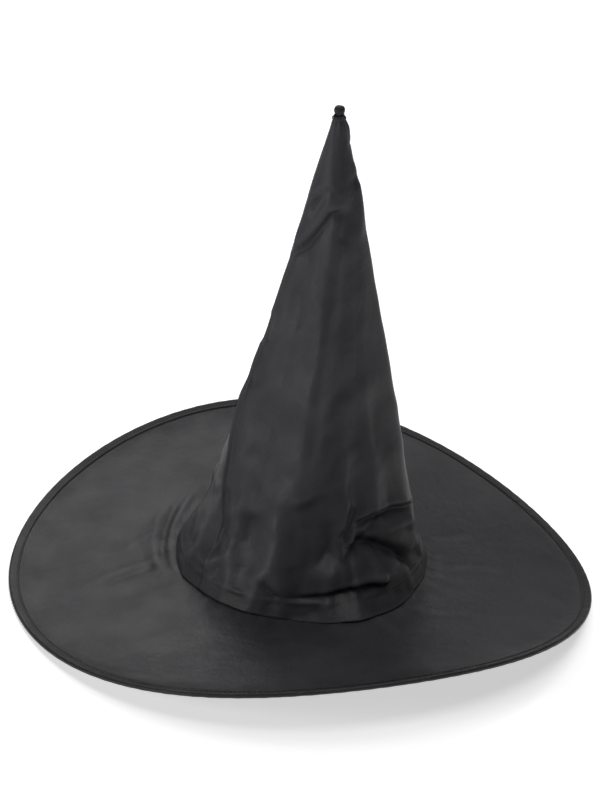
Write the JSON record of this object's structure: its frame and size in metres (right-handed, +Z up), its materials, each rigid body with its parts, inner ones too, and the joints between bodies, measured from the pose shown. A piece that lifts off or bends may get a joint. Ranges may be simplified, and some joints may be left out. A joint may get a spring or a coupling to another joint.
{
  "type": "witch hat",
  "caption": "Pointed black cloth hat with a tall soft crown, a wide saddle-shaped brim on a spring wire hoop, and a peak that folds over.",
  "frame": {"origin": "centre of the head opening, at the height of the head seam", "axes": "+Z up from the head opening to the peak; +X towards the side on which the peak leans and folds; +Y towards the back of the hat"},
  "size_m": [0.4128, 0.4128, 0.3607],
  "materials": {
    "coated_cloth": "black polyester taffeta with a thin matt polyurethane coating",
    "binding_tape": "folded strip of the same black cloth, slightly shinier along the fold",
    "head_tape": "black woven twill tape",
    "thread": "black spun polyester sewing thread",
    "spring_wire": "bright drawn spring steel",
    "crimp_tube": "plain crimped aluminium tube"
  },
  "bodies": {
    "hat": {"crown": "coated_cloth", "crown_seam_thread": "thread", "brim": "coated_cloth", "rim_binding": "binding_tape", "binding_thread": "thread", "hoop_wire": "spring_wire", "wire_ferrule": "crimp_tube", "head_band": "head_tape", "head_seam_thread": "thread", "overlock_thread": "thread"},
    "peak": {"crown_peak": "coated_cloth", "peak_seam_thread": "thread", "peak_knot": "coated_cloth", "peak_whipping": "thread"}
  },
  "joints": [
    {"name": "peak_fold", "type": "hinge", "parent": "hat", "child": "peak", "pos_m": [0.0347, 0, 0.246], "axis": [0, 1, 0], "range_deg": [0, 90]}
  ]
}
